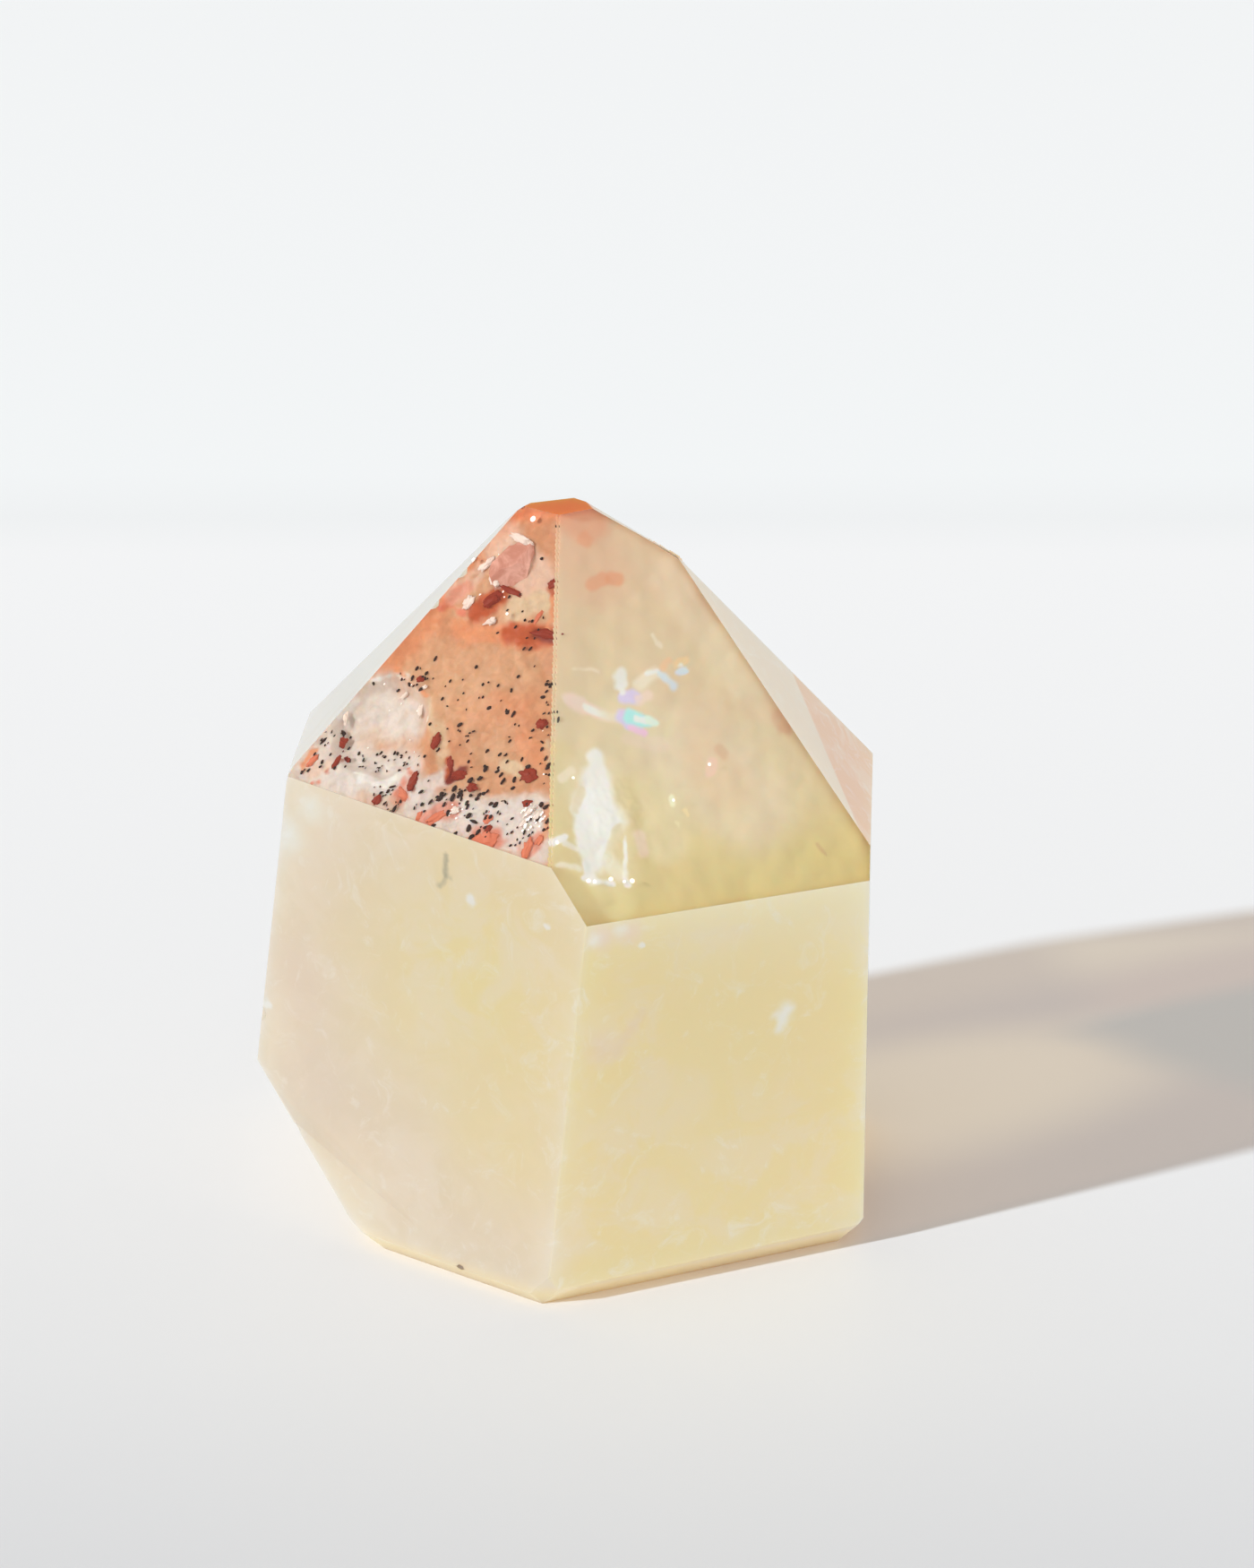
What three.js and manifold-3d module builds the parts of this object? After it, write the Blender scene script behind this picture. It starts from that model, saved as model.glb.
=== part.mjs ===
// A squat citrine tower: one piece of milky yellow quartz, ground into a short six-sided point.
// Millimetres, +Z up. It stands on its flat base, and the origin is on the base plane
// under the middle of its bounding box. The front is toward -Y.
//
// The stone is made as a stone cutter makes it: a rough block is ground flat, one facet at a time.

import * as THREE from "three";
import { mergeVertices } from "three/addons/utils/BufferGeometryUtils.js";
import Module from "manifold-3d";

const wasm = await Module();
wasm.setup();

// Driving dimensions
const BLOCK_WIDTH = 90;
const BLOCK_DEPTH = 90;
const BLOCK_HEIGHT = 80;
const GRINDER_SIZE = 240;

// Every facet is measured from this point inside the stone, half way up.
const MIDDLE = new THREE.Vector3(-0.2, -11.5, 34);

// Each facet has three values. Its turn is the direction that it faces, in degrees
// counter-clockwise from +X. Its rise is how far it faces up, in degrees, negative where
// it faces down. Its reach is its distance from MIDDLE.
const FACETS = {
  // The six walls. The front left wall leans in, the others are nearly upright.
  frontLeftWall: { turn: -122, rise: 4.5, reach: 10.1 },
  frontRightWall: { turn: -68.5, rise: -0.5, reach: 12.7 },
  rightWall: { turn: -4, rise: 0.5, reach: 27.1 },
  backRightWall: { turn: 60, rise: 1.5, reach: 32.4 },
  backLeftWall: { turn: 108, rise: 3, reach: 32.6 },
  leftWall: { turn: 178, rise: 7.5, reach: 26.1 },

  // The six faces of the point. The front left one is the clear window.
  frontLeftCrown: { turn: -119.5, rise: 35.5, reach: 12.7 },
  frontRightCrown: { turn: -68, rise: 36.5, reach: 12.5 },
  rightCrown: { turn: -3, rise: 37.5, reach: 25.1 },
  backRightCrown: { turn: 50, rise: 40, reach: 29.6 },
  backLeftCrown: { turn: 106, rise: 36, reach: 29.7 },
  leftCrown: { turn: 172, rise: 41, reach: 25.9 },

  // The blunt tip, and the two small faces that soften its ends.
  tip: { turn: -95, rise: 85, reach: 32.2 },
  tipRight: { turn: 15, rise: 59, reach: 31.2 },
  tipLeft: { turn: 145, rise: 50, reach: 31.6 },

  // The small face on the left shoulder and the long undercut below the left wall.
  leftShoulder: { turn: 176, rise: 30, reach: 26.8 },
  leftUndercut: { turn: -176, rise: -32, reach: 33.6 },

  // The bevels around the base, and the small cut at its front corner.
  frontLeftBevel: { turn: -123, rise: -33, reach: 28.4 },
  frontRightBevel: { turn: -68, rise: -35, reach: 28.5 },
  rightBevel: { turn: -4.5, rise: -38, reach: 40.7 },
  backRightBevel: { turn: 60, rise: -40, reach: 46 },
  backLeftBevel: { turn: 108, rise: -40, reach: 46.8 },
  leftBevel: { turn: -177, rise: -49, reach: 36.8 },
  frontCorner: { turn: -95, rise: -18, reach: 22.7 },
};

// Small chips: the two facets whose edge is chipped, the place along that edge (where its
// x or z has the value given), the radius of the bite, and how far the middle of the bite
// lies outside the edge.
const CHIPS = [
  { edge: ["frontLeftWall", "leftWall"], axis: "z", value: 20.5, radius: 1.1, outside: 0.75 },
  { edge: ["frontLeftWall", "leftUndercut"], axis: "z", value: 10.2, radius: 0.9, outside: 0.65 },
  { edge: ["frontLeftCrown", "leftCrown"], axis: "z", value: 61.6, radius: 1.1, outside: 0.85 },
  { edge: ["frontLeftCrown", "leftCrown"], axis: "z", value: 58.9, radius: 0.8, outside: 0.55 },
  { edge: ["frontLeftWall", "frontLeftBevel"], axis: "x", value: -9.8, radius: 0.7, outside: 0.5 },
  { edge: ["rightWall", "backRightWall"], axis: "z", value: 24, radius: 1.4, outside: 0.95 },
  { edge: ["backLeftWall", "leftWall"], axis: "z", value: 30, radius: 1.2, outside: 0.85 },
  { edge: ["backRightWall", "backLeftWall"], axis: "z", value: 7, radius: 1.1, outside: 0.8 },
];
const CHIP_DETAIL = 1;

const STONE_COLOUR = 0xe4d6ae;
const STONE_ROUGHNESS = 0.12;

function facing(facet) {
  const turn = THREE.MathUtils.degToRad(facet.turn);
  const rise = THREE.MathUtils.degToRad(facet.rise);
  return new THREE.Vector3(
    Math.cos(rise) * Math.cos(turn),
    Math.cos(rise) * Math.sin(turn),
    Math.sin(rise),
  );
}

function planeOf(facet) {
  const normal = facing(facet);
  const point = MIDDLE.clone().addScaledVector(normal, facet.reach);
  return new THREE.Plane().setFromNormalAndCoplanarPoint(normal, point);
}

// A closed geometry becomes a solid once its corners are shared.
function solidOf(geometry) {
  const bare = geometry.clone();
  bare.deleteAttribute("normal");
  bare.deleteAttribute("uv");
  const shared = mergeVertices(bare);
  const triVerts = new Uint32Array(shared.index.array);
  const vertProperties = new Float32Array(shared.attributes.position.array);
  return new wasm.Manifold(new wasm.Mesh({ numProp: 3, vertProperties, triVerts }));
}

function geometryOf(solid) {
  const mesh = solid.getMesh();
  const geometry = new THREE.BufferGeometry();
  const position = new THREE.BufferAttribute(new Float32Array(mesh.vertProperties), 3);
  geometry.setAttribute("position", position);
  geometry.setIndex(new THREE.BufferAttribute(new Uint32Array(mesh.triVerts), 1));
  return geometry;
}

function roughBlock() {
  const block = new THREE.BoxGeometry(BLOCK_WIDTH, BLOCK_DEPTH, BLOCK_HEIGHT);
  block.translate(0, 0, BLOCK_HEIGHT / 2);
  return solidOf(block);
}

// The grinder is a large box whose flat side lies on the facet, outside the stone.
function grinderFor(facet) {
  const grinder = new THREE.BoxGeometry(GRINDER_SIZE, GRINDER_SIZE, GRINDER_SIZE);
  const normal = facing(facet);
  const up = new THREE.Vector3(0, 0, 1);
  grinder.applyQuaternion(new THREE.Quaternion().setFromUnitVectors(up, normal));
  const centre = MIDDLE.clone().addScaledVector(normal, facet.reach + GRINDER_SIZE / 2);
  grinder.translate(centre.x, centre.y, centre.z);
  return solidOf(grinder);
}

// The point on the edge where two facets meet whose coordinate along axis has the given value.
function pointOnEdge(first, second, axis, value) {
  const a = planeOf(first);
  const b = planeOf(second);
  const along = a.normal.clone().cross(b.normal);
  const towardA = b.normal.clone().cross(along).multiplyScalar(-a.constant);
  const towardB = along.clone().cross(a.normal).multiplyScalar(-b.constant);
  const point = towardA.add(towardB).divideScalar(along.lengthSq());
  return point.addScaledVector(along, (value - point[axis]) / along[axis]);
}

function chipCutter(chip) {
  const [first, second] = chip.edge.map((name) => FACETS[name]);
  const outward = facing(first).add(facing(second)).normalize();
  const centre = pointOnEdge(first, second, chip.axis, chip.value);
  centre.addScaledVector(outward, chip.outside);
  const bite = new THREE.IcosahedronGeometry(chip.radius, CHIP_DETAIL);
  bite.translate(centre.x, centre.y, centre.z);
  return solidOf(bite);
}

function citrineTower() {
  let stone = roughBlock();
  for (const facet of Object.values(FACETS)) {
    stone = stone.subtract(grinderFor(facet));
  }
  for (const chip of CHIPS) {
    stone = stone.subtract(chipCutter(chip));
  }
  const quartz = new THREE.MeshStandardMaterial({
    color: STONE_COLOUR,
    roughness: STONE_ROUGHNESS,
    metalness: 0,
  });
  const mesh = new THREE.Mesh(geometryOf(stone), quartz);
  mesh.name = "citrine_tower";
  return mesh;
}

const object = new THREE.Group();
object.add(citrineTower());

export default object;
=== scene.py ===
# %% [markdown]
# # A citrine tower
# The real object is one piece of milky yellow quartz, ground flat facet by facet into a short point.
# The fixed frame that is loaded here holds that solid at its real size, so everything below only
# gives it its looks: soft edges, a milky and partly clear body, and what grew inside the crystal.

# %% Load the fixed frame and keep its box
import math
import random

import bpy
from mathutils import Matrix, Vector, noise


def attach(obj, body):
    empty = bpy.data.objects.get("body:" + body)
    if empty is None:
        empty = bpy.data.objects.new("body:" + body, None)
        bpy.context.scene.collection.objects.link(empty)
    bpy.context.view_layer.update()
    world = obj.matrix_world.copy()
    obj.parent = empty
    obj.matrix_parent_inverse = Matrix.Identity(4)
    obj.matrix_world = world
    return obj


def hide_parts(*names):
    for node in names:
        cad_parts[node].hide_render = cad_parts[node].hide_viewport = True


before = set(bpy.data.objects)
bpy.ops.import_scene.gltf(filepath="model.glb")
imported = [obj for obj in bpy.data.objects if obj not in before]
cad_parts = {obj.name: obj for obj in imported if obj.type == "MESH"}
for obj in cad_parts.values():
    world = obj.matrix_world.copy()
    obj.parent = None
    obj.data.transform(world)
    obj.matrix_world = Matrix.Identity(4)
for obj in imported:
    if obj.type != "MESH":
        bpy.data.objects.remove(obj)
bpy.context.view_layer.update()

MM = 0.001
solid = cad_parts["citrine_tower"]

# %% [markdown]
# ## The camera
# It stands in front of the stone and looks down on it by 24 degrees, from about a third of a metre.
# Its place was found from the corners of the facets. With the camera known, a sight line can be
# followed from a pixel of the picture into the stone, which later places each inclusion.

# %% Camera and sight lines
PICTURE_WIDTH = 1400
PICTURE_HEIGHT = 1750
SENSOR = 36.0
LENS = 87.43
CAMERA_PLACE = Vector((5.32, -317.84, 181.86)) * MM
CAMERA_DIP = math.radians(24)

camera_data = bpy.data.cameras.new("camera")
camera_data.sensor_width = SENSOR
camera_data.lens = LENS
camera_data.clip_start = 0.01
camera = bpy.data.objects.new("camera", camera_data)
camera.location = CAMERA_PLACE
camera.rotation_euler = (math.pi / 2 - CAMERA_DIP, 0, 0)
bpy.context.collection.objects.link(camera)
bpy.context.scene.camera = camera
CAMERA_TURN = camera.rotation_euler.to_matrix()


def sight(px, py):
    """The direction of the sight line through a pixel of the picture."""
    across = (px - PICTURE_WIDTH / 2) / PICTURE_HEIGHT * SENSOR
    down = (py - PICTURE_HEIGHT / 2) / PICTURE_HEIGHT * SENSOR
    return (CAMERA_TURN @ Vector((across, -down, -LENS))).normalized()


print("middle sight line", [round(value, 3) for value in sight(700, 875)])

# %% [markdown]
# ## Small helpers for modelling
# An operator works on all that is selected, so each piece is selected alone first. A finished
# piece keeps its place in its mesh, with its object at the origin.

# %% Modelling helpers
def only(*objects):
    bpy.ops.object.select_all(action="DESELECT")
    for obj in objects:
        obj.select_set(True)
    bpy.context.view_layer.objects.active = objects[0]


def edit(obj):
    only(obj)
    bpy.ops.object.mode_set(mode="EDIT")
    bpy.ops.mesh.select_all(action="SELECT")


def done():
    bpy.ops.object.mode_set(mode="OBJECT")


def settle(obj):
    """Puts the object at the origin, unturned, with its place in its mesh."""
    only(obj)
    bpy.ops.object.transform_apply(location=True, rotation=True, scale=True)


def smooth(obj, angle):
    only(obj)
    bpy.ops.object.shade_smooth_by_angle(angle=math.radians(angle))


def add_modifier(obj, kind, **settings):
    """Adds a modifier with these settings and applies it at once."""
    only(obj)
    modifier = obj.modifiers.new(kind.lower(), kind)
    for name, value in settings.items():
        setattr(modifier, name, value)
    bpy.ops.object.modifier_apply(modifier=modifier.name)


def join(pieces, name):
    only(*pieces)
    if len(pieces) > 1:
        bpy.ops.object.join()
    piece = bpy.context.object
    piece.name = name
    piece.data.name = name
    return piece


def soft_step(value, low, high):
    """0 below low, 1 above high and a soft rise between them."""
    share = max(0.0, min(1.0, (value - low) / (high - low)))
    return share * share * (3 - 2 * share)


# %% [markdown]
# ## Small helpers for materials
# Each one adds a few nodes and gives back a socket, so a recipe reads as a list of what is mixed.

# %% Node helpers
def node(tree, kind, inputs=None, **settings):
    """Makes a node, sets its sockets by name or number, and links those whose value is a socket."""
    made = tree.nodes.new("ShaderNode" + kind)
    for name, value in settings.items():
        setattr(made, name, value)
    for name, value in (inputs or {}).items():
        if isinstance(value, bpy.types.NodeSocket):
            tree.links.new(value, made.inputs[name])
        else:
            made.inputs[name].default_value = value
    return made


def new_material(name):
    material = bpy.data.materials.new(name)
    material.use_nodes = True
    return material, material.node_tree, material.node_tree.nodes["Principled BSDF"]


def object_place(tree):
    return node(tree, "TexCoord").outputs["Object"]


def cloud(tree, place, size, detail=3, rough=0.5, twist=0.0):
    """Cloudy noise from 0 to 1 whose lumps have this size in mm."""
    inputs = {"Vector": place, "Scale": 1 / (size * MM), "Detail": detail}
    inputs.update({"Roughness": rough, "Distortion": twist})
    return node(tree, "TexNoise", inputs).outputs["Fac"]


def warp(tree, place, size, reach):
    """The place, moved about by noise of this size by up to about a reach in mm."""
    inputs = {"Vector": place, "Scale": 1 / (size * MM), "Detail": 3}
    shift = node(tree, "TexNoise", inputs).outputs["Color"]
    middle = node(tree, "VectorMath", {0: shift, 1: (0.5, 0.5, 0.5)}, operation="SUBTRACT").outputs[0]
    inputs = {0: middle, 1: (4 * reach * MM,) * 3, 2: place}
    return node(tree, "VectorMath", inputs, operation="MULTIPLY_ADD").outputs[0]


def ramp(tree, value, low, high, start=0.0, end=1.0):
    """Turns a value between low and high into one between start and end, softly."""
    inputs = {"Value": value, "From Min": low, "From Max": high, "To Min": start, "To Max": end}
    return node(tree, "MapRange", inputs, interpolation_type="SMOOTHSTEP").outputs["Result"]


def blend(tree, share, first, second):
    """Mixes two colours. Each is a colour or the output of a node."""
    made = node(tree, "Mix", data_type="RGBA")
    for socket, value in ((0, share), (6, first), (7, second)):
        if isinstance(value, bpy.types.NodeSocket):
            tree.links.new(value, made.inputs[socket])
        elif socket == 0:
            made.inputs[socket].default_value = value
        else:
            made.inputs[socket].default_value = (*value, 1)
    return made.outputs[2]


def maths(tree, operation, first, second=0.0):
    return node(tree, "Math", {0: first, 1: second}, operation=operation).outputs[0]


def times(tree, *values):
    product = values[0]
    for value in values[1:]:
        product = maths(tree, "MULTIPLY", product, value)
    return product


def near(tree, place, centre, reach, core=0.0):
    """1 at the centre, a place in the stone, and 0 from a reach in mm away from it."""
    gap = node(tree, "VectorMath", {0: place, 1: centre}, operation="DISTANCE").outputs["Value"]
    return ramp(tree, gap, core * reach * MM, reach * MM, 1.0, 0.0)


def streak(tree, place, start, end, reach):
    """1 on the line from start to end, and 0 from a reach in mm away from it."""
    way = end - start
    gap = node(tree, "VectorMath", {0: place, 1: start}, operation="SUBTRACT").outputs[0]
    inputs = {0: gap, 1: way / way.length_squared}
    share = node(tree, "VectorMath", inputs, operation="DOT_PRODUCT").outputs["Value"]
    held = node(tree, "Clamp", {"Value": share}).outputs[0]
    foot = node(tree, "VectorMath", {0: way, "Scale": held}, operation="SCALE").outputs[0]
    gap = node(tree, "VectorMath", {0: gap, 1: foot}, operation="DISTANCE").outputs["Value"]
    return ramp(tree, gap, 0.0, reach * MM, 1.0, 0.0)


def along(tree, place, direction, low, high):
    """0 before low and 1 past high, in mm along a direction."""
    inputs = {0: place, 1: Vector(direction).normalized()}
    way = node(tree, "VectorMath", inputs, operation="DOT_PRODUCT").outputs["Value"]
    return ramp(tree, way, low * MM, high * MM)


# %% [markdown]
# ## The studio
# A low, hard light comes from the left and the front, as through a window in the morning, and a
# pale room fills the shadows. Milky quartz spreads sunlight through its whole body, which evens out
# its faces. So the light on the stone is softer than the light that draws its shadow on the table,
# and a wide light from the right stands for what the body hands on to its far side.

# %% Table
TABLE_SIZE = 3.2
TABLE_FAR = 0.36
# Painted shade on the table, from near to far: how far back in metres, and the colour there. It darkens toward
# the camera, and has a slightly darker band about 0.18 m back.
PAINTED_TABLE_FALLOFF = {
    -0.080: (0.67, 0.67, 0.68),
    -0.035: (0.785, 0.785, 0.79),
    0.020: (0.865, 0.865, 0.87),
    0.110: (0.90, 0.90, 0.905),
    0.168: (0.92, 0.92, 0.925),
    0.182: (0.885, 0.895, 0.90),
    0.200: (0.915, 0.93, 0.935),
    0.360: (0.92, 0.93, 0.935),
}


def table_material():
    material, tree, shader = new_material("pale_table")
    back = node(tree, "SeparateXYZ", {0: object_place(tree)}).outputs["Y"]
    near_edge = min(PAINTED_TABLE_FALLOFF)
    share = node(tree, "MapRange", {"Value": back, "From Min": near_edge, "From Max": TABLE_FAR})
    # A ramp of painted shade along the table's depth, darker near the camera.
    falloff_ramp = node(tree, "ValToRGB", {"Fac": share.outputs["Result"]})
    stops = falloff_ramp.color_ramp.elements
    while len(stops) < len(PAINTED_TABLE_FALLOFF):
        stops.new(0.5)
    for stop, (distance, tone) in zip(stops, PAINTED_TABLE_FALLOFF.items()):
        stop.position = (distance - near_edge) / (TABLE_FAR - near_edge)
        stop.color = (*tone, 1)
    tree.links.new(falloff_ramp.outputs["Color"], shader.inputs["Base Color"])
    shader.inputs["Roughness"].default_value = 0.6
    return material


bpy.ops.object.select_all(action="DESELECT")
bpy.ops.mesh.primitive_plane_add(size=TABLE_SIZE, location=(0, 0, 0))
table = bpy.context.object
table.name = "table"
table.data.materials.append(table_material())
print("table", [round(value, 2) for value in table.dimensions])

# %% Lamps and room
stage_group = bpy.data.collections.new("stage")
body_group = bpy.data.collections.new("body")
inner_group = bpy.data.collections.new("inner")
stage_group.objects.link(table)


def sun_lamp(name, turn, rise, spread, strength, colour, lit):
    """A far lamp at a turn from +X and a rise, in degrees. It lights only the collection lit."""
    data = bpy.data.lights.new(name, "SUN")
    data.energy = strength
    data.angle = math.radians(spread)
    data.color = colour
    lamp = bpy.data.objects.new(name, data)
    turn, rise = math.radians(turn), math.radians(rise)
    toward = Vector((math.cos(rise) * math.cos(turn), math.cos(rise) * math.sin(turn), math.sin(rise)))
    lamp.location = toward
    lamp.rotation_euler = toward.to_track_quat("Z", "Y").to_euler()
    lamp.light_linking.receiver_collection = lit
    bpy.context.collection.objects.link(lamp)
    print(name, "comes from", [round(value, 2) for value in toward])


sun_lamp("table_sun", 205, 26.5, 2.5, 3.6, (0.87, 0.93, 1.0), stage_group)
sun_lamp("body_sun", 205, 26.5, 2.5, 0.45, (1.0, 0.97, 0.93), body_group)
sun_lamp("body_fill", -45, 25, 60, 0.72, (1.0, 0.97, 0.93), body_group)
sun_lamp("inner_sun", 205, 26.5, 2.5, 1.9, (1.0, 0.97, 0.93), inner_group)
sun_lamp("inner_fill", -45, 25, 60, 1.1, (1.0, 0.97, 0.93), inner_group)

world = bpy.data.worlds.new("pale_room")
world.use_nodes = True
world.node_tree.nodes["Background"].inputs["Color"].default_value = (1.0, 0.965, 0.91, 1)
world.node_tree.nodes["Background"].inputs["Strength"].default_value = 0.56
bpy.context.scene.world = world
bpy.context.scene.view_settings.view_transform = "Standard"

# %% [markdown]
# ## Facets and the bent sight line
# Quartz bends light, so a speck under a facet is not where a straight line would put it. These
# helpers find a facet of the solid by the way it faces, follow a sight line to the stone, bend it
# by Snell's law and stop at a given depth under the facet.

# %% Facets and places inside the stone
QUARTZ_IOR = 1.544
SAME_WAY = math.cos(math.radians(0.6))


def facet(turn, rise):
    """The largest flat face of the solid that faces this way: a point on it and its normal."""
    turn, rise = math.radians(turn), math.radians(rise)
    way = Vector((math.cos(rise) * math.cos(turn), math.cos(rise) * math.sin(turn), math.sin(rise)))
    faces = [face for face in solid.data.polygons if face.normal.dot(way) > SAME_WAY]
    largest = max(faces, key=lambda face: face.area)
    return Vector(largest.center), Vector(largest.normal)


FACETS = {
    "window": facet(-119.5, 35.5),
    "front right crown": facet(-68, 36.5),
    "front left wall": facet(-122, 4.5),
    "front right wall": facet(-68.5, -0.5),
    "right wall": facet(-4, 0.5),
    "left wall": facet(178, 7.5),
    "left crown": facet(172, 41),
    "left shoulder": facet(176, 30),
    "back left crown": facet(106, 36),
    "right crown": facet(-3, 37.5),
    "tip": facet(-95, 85),
    "tip left": facet(145, 50),
    "tip right": facet(15, 59),
}
CUT_MARGIN = 0.12


def facet_turn(name):
    """The turn that lays a flat shape on a facet, with its x across the facet and its y up it."""
    out = FACETS[name][1]
    across = Vector((0, 0, 1)).cross(out).normalized()
    return Matrix((across, out.cross(across), out)).transposed()


def bent(way, normal):
    """The way a sight line takes inside the quartz, once it has passed a face with this normal."""
    slope = -way.dot(normal)
    inner_slope = math.sqrt(1 - (1 - slope ** 2) / QUARTZ_IOR ** 2)
    return (way / QUARTZ_IOR + normal * (slope / QUARTZ_IOR - inner_slope)).normalized()


def under(name, px, py, depth=0.0):
    """The place seen at a pixel through the plane of a facet, a depth in mm below that plane."""
    place, normal = FACETS[name]
    way = sight(px, py)
    hit = CAMERA_PLACE + way * ((place - CAMERA_PLACE).dot(normal) / way.dot(normal))
    inner = bent(way, normal)
    return hit + inner * (depth * MM / -inner.dot(normal))


def skin(px, py):
    """The place on the stone's skin that is seen at a pixel."""
    hit, place, normal, face = solid.ray_cast(CAMERA_PLACE, sight(px, py))
    if not hit:
        raise ValueError(f"no stone at pixel {px}, {py}")
    return place


def on_facet(tree, place, name, reach=0.25):
    """1 on the named facet and 0 on the others, with a soft edge of the reach in mm."""
    point, normal = FACETS[name]
    height = node(tree, "VectorMath", {0: place, 1: normal}, operation="DOT_PRODUCT").outputs["Value"]
    level = point.dot(normal)
    return ramp(tree, height, level - reach * MM, level - 0.1 * reach * MM)


def cut_to_stone(obj, margins):
    """Cuts away what lies outside the stone or too close under its faces, by named margins in mm."""
    edit(obj)
    for name, (place, normal) in FACETS.items():
        level = place - normal * margins.get(name, CUT_MARGIN) * MM
        bpy.ops.mesh.select_all(action="SELECT")
        bpy.ops.mesh.bisect(plane_co=level, plane_no=normal, clear_outer=True)
    done()


def below(spot, name):
    """How far a place, given in mm, lies under the plane of a facet."""
    place, normal = FACETS[name]
    return (place / MM - spot).dot(normal)


def finish_piece(obj, material, group):
    obj.data.materials.clear()
    obj.data.materials.append(material)
    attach(obj, "root")
    group.objects.link(obj)
    print(obj.name, "has", len(obj.data.polygons), "faces")


print("window facet faces", [round(value, 3) for value in FACETS["window"][1]])

# %% [markdown]
# ## The quartz body
# The body is a merged copy of the fixed solid. Its long edges are taken off by fine flat cuts,
# because hand polishing always leaves them slightly soft. Its material is part milk, part glass.
# The milk is subsurface scattering, and the glass is plain transmission with the bending power of
# quartz. The two front crown facets are clear, so that one looks in through them.

# %% The quartz body
EDGE_WIDTH = 0.15
LONG_EDGE = 2.0
SHARP_ANGLE = math.radians(8)
SAME_PLANE = math.cos(math.radians(0.2))
PLANE_GAP = 0.01


def long_edges(mesh):
    """For each long, sharp edge: its middle, the mean of its two face normals and half their angle."""
    faces_at = {}
    for face in mesh.polygons:
        for key in face.edge_keys:
            faces_at.setdefault(key, []).append(face.normal.copy())
    for (first, second), normals in faces_at.items():
        start, end = mesh.vertices[first].co, mesh.vertices[second].co
        if (end - start).length > LONG_EDGE * MM and len(normals) == 2:
            angle = normals[0].angle(normals[1])
            if angle > SHARP_ANGLE:
                yield (start + end) / 2, (normals[0] + normals[1]).normalized(), angle / 2


def in_plane(level, out, cut):
    """Whether a cut lies in the plane of another, as on an edge that a chip parts in two."""
    return out.dot(cut[1]) > SAME_PLANE and abs((level - cut[0]).dot(out)) < PLANE_GAP * MM


def quartz_shape():
    copy = solid.copy()
    copy.data = solid.data.copy()
    copy.name = "quartz_body"
    copy.data.name = "quartz_body"
    copy.parent = None
    for key in list(copy.keys()):
        del copy[key]
    bpy.context.collection.objects.link(copy)
    edit(copy)
    bpy.ops.mesh.remove_doubles(threshold=0.002 * MM)
    bpy.ops.mesh.dissolve_limited(angle_limit=math.radians(0.5))
    done()
    cuts = []
    for middle, out, half_angle in long_edges(copy.data):
        level = middle - out * EDGE_WIDTH / 2 * MM * math.tan(half_angle)
        if not any(in_plane(level, out, cut) for cut in cuts):
            cuts.append((level, out))
    edit(copy)
    for level, out in cuts:
        bpy.ops.mesh.select_all(action="SELECT")
        bpy.ops.mesh.bisect(plane_co=level, plane_no=out, clear_outer=True, use_fill=True)
    done()
    print("long edges taken off:", len(cuts))
    return copy


body = quartz_shape()

# %% The colours of the quartz
MILK = (0.87, 0.75, 0.58)
YELLOW = (0.93, 0.785, 0.42)
HONEY = (0.93, 0.785, 0.46)
BUTTER = (1.0, 0.855, 0.635)
SHELL = (0.935, 0.815, 0.67)
SALMON = (0.97, 0.78, 0.68)
PEARL = (0.97, 0.80, 0.64)
# Pink for the painted reflection on the right crown, and for pink stains in the milky veil.
PINK_STAIN_AND_REFLECTION = (0.90, 0.59, 0.38)
RUST = (0.94, 0.215, 0.02)
MIST = (0.84, 0.73, 0.61)
# Painted light: a warm, lighter colour for the bottom few mm, standing in for light thrown back by the table.
PAINTED_BASE_GLOW = (0.98, 0.78, 0.47)
SNOW = (1.0, 0.92, 0.84)
LILAC = (0.87, 0.73, 0.61)
SMOKE = (0.42, 0.40, 0.28)
WATER = (1.0, 0.99, 0.97)

# Soft spots in the milk: the pixel where each is seen, its reach in mm, its colour and its strength.
SPOTS = {
    "yellow heart of the left wall": (530, 1090, 21, YELLOW, 1.0),
    "yellow below it": (560, 1280, 11, YELLOW, 0.6),
    "pale corner": (345, 930, 8, SHELL, 0.7),
    "white patch at the left corner": (320, 932, 3.0, SNOW, 1.0),
    "white patch beside it": (348, 902, 2.4, SNOW, 0.9),
    "lilac left edge": (318, 1080, 8, LILAC, 0.6),
    "misty low left": (330, 1220, 9, MIST, 0.8),
    "pale low left": (400, 1330, 7, SHELL, 0.6),
    "salmon patch below the crown": (672, 1045, 2.3, SALMON, 0.9),
    "salmon patch right of it": (702, 1040, 2.0, SALMON, 0.8),
    "white heart of the patch": (664, 1050, 1.1, SNOW, 0.8),
    "white heart right of it": (694, 1038, 1.1, SNOW, 0.7),
    "lilac haze on the front edge": (672, 1170, 2.6, LILAC, 0.6),
    "yellow beside the front edge": (596, 1190, 7, YELLOW, 0.5),
    "honey on the right wall": (930, 1230, 5, HONEY, 0.6),
    "pale foot of the front edge": (620, 1390, 4.5, SHELL, 0.6),
}
# Painted glints: small white spots that stand in for sparkles of light on the skin. The pixel, the reach in mm
# and the strength.
PAINTED_SKIN_GLINTS = {
    "white spark": (526, 1005, 0.8, 1.0),
    "white spark at the front edge": (611, 1033, 0.5, 1.0),
    "spark on the left edge": (298, 1120, 0.7, 1.0),
    "spark below the crown": (716, 1054, 0.5, 1.0),
}
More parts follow.
